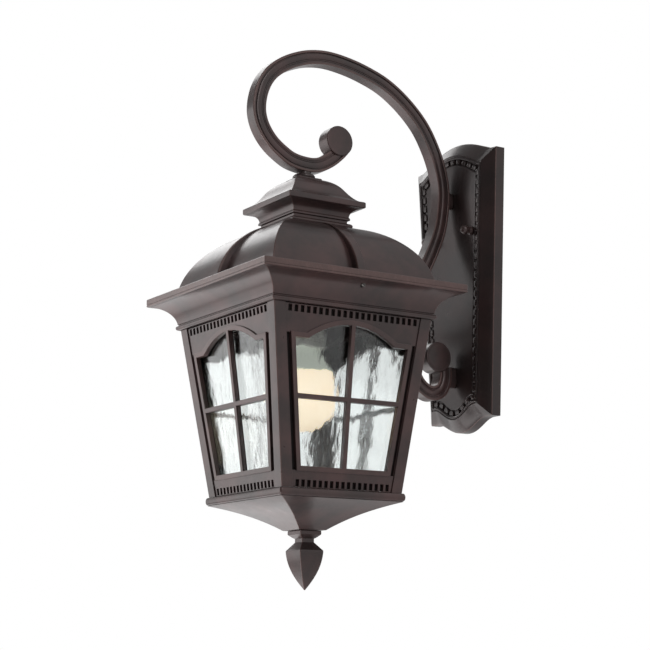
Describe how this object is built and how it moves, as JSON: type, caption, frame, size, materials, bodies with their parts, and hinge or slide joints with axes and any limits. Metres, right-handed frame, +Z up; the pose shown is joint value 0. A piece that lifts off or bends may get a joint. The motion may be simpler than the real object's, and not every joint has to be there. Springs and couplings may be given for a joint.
{
  "type": "outdoor wall lantern",
  "caption": "Square tapered wall lantern with a domed roof and arched water-glass windows, hung from an S-scroll arm on a shaped wall plate.",
  "frame": {"origin": "middle of the mounting bar's back face, in the plane of the wall", "axes": "+Z up, +Y into the wall, +X to the right for someone who faces the wall; the lantern stands off towards -Y"},
  "size_m": [0.2324, 0.3229, 0.5507],
  "materials": {
    "bronze_cast": "oil-rubbed bronze paint on cast aluminium, semi-gloss",
    "zinc_steel": "zinc plated",
    "brass": "satin",
    "green_screw": "green lacquer",
    "lead_cover": "satin",
    "water_glass": "clear wavy water glass",
    "porcelain": "glazed",
    "lamp_cap_metal": "rolled thread",
    "lamp_shell": "satin",
    "lamp_diffuser": "lit, warm white"
  },
  "bodies": {
    "mount": {"wall_plate": "bronze_cast", "mounting_bar": "zinc_steel", "mounting_stud_left": "zinc_steel", "mounting_stud_right": "zinc_steel", "ground_screw": "green_screw", "scroll_arm": "bronze_cast", "upper_scroll_disc": "bronze_cast", "lower_scroll_disc": "bronze_cast", "upper_arm_pad": "bronze_cast", "lower_arm_pad": "bronze_cast", "upper_arm_screw": "zinc_steel", "lower_arm_screw": "zinc_steel", "lamp_lead": "lead_cover", "stem": "bronze_cast", "stem_collar": "bronze_cast", "hanger_nipple": "zinc_steel", "hanger_washer": "zinc_steel", "hanger_nut": "brass", "cap": "bronze_cast", "roof": "bronze_cast", "cornice": "bronze_cast", "socket_cap": "brass", "socket_body": "porcelain", "socket_thread": "brass", "socket_contact": "brass"},
    "cage": {"top_frame": "bronze_cast", "corner_post_1": "bronze_cast", "corner_post_2": "bronze_cast", "corner_post_3": "bronze_cast", "corner_post_4": "bronze_cast", "window_panel_front": "bronze_cast", "window_panel_right": "bronze_cast", "window_panel_back": "bronze_cast", "window_panel_left": "bronze_cast", "glass_front": "water_glass", "glass_right": "water_glass", "glass_back": "water_glass", "glass_left": "water_glass", "glass_clip_front": "zinc_steel", "glass_clip_right": "zinc_steel", "glass_clip_back": "zinc_steel", "glass_clip_left": "zinc_steel", "base_frame": "bronze_cast", "base_bar": "zinc_steel", "pan": "bronze_cast", "finial_nut": "brass"},
    "finial": {"finial": "bronze_cast", "finial_stud": "zinc_steel"},
    "lamp": {"bulb_cap": "lamp_cap_metal", "bulb_neck": "lamp_shell", "bulb_globe": "lamp_diffuser"},
    "left_roof_screw": {"roof_screw_left": "zinc_steel"},
    "right_roof_screw": {"roof_screw_right": "zinc_steel"},
    "left_ball_nut": {"ball_nut_left": "bronze_cast"},
    "right_ball_nut": {"ball_nut_right": "bronze_cast"}
  },
  "joints": [
    {"name": "cage_drop", "type": "slide", "parent": "mount", "child": "cage", "axis": [0, 0, -1], "range_m": [0, 0.12]},
    {"name": "finial_turn", "type": "hinge", "parent": "cage", "child": "finial", "pos_m": [0, -0.2067, -0.34], "axis": [0, 0, 1], "continuous": true},
    {"name": "lamp_turn", "type": "hinge", "parent": "mount", "child": "lamp", "pos_m": [0, -0.2067, -0.15], "axis": [0, 0, 1], "continuous": true},
    {"name": "left_roof_screw_turn", "type": "hinge", "parent": "mount", "child": "left_roof_screw", "pos_m": [-0.1, -0.2067, -0.09297], "axis": [-1, 0, 0], "continuous": true},
    {"name": "right_roof_screw_turn", "type": "hinge", "parent": "mount", "child": "right_roof_screw", "pos_m": [0.1, -0.2067, -0.09297], "axis": [1, 0, 0], "continuous": true},
    {"name": "left_ball_nut_turn", "type": "hinge", "parent": "mount", "child": "left_ball_nut", "pos_m": [-0.034, -0.025, 0], "axis": [0, -1, 0], "continuous": true},
    {"name": "right_ball_nut_turn", "type": "hinge", "parent": "mount", "child": "right_ball_nut", "pos_m": [0.034, -0.025, 0], "axis": [0, -1, 0], "continuous": true}
  ]
}
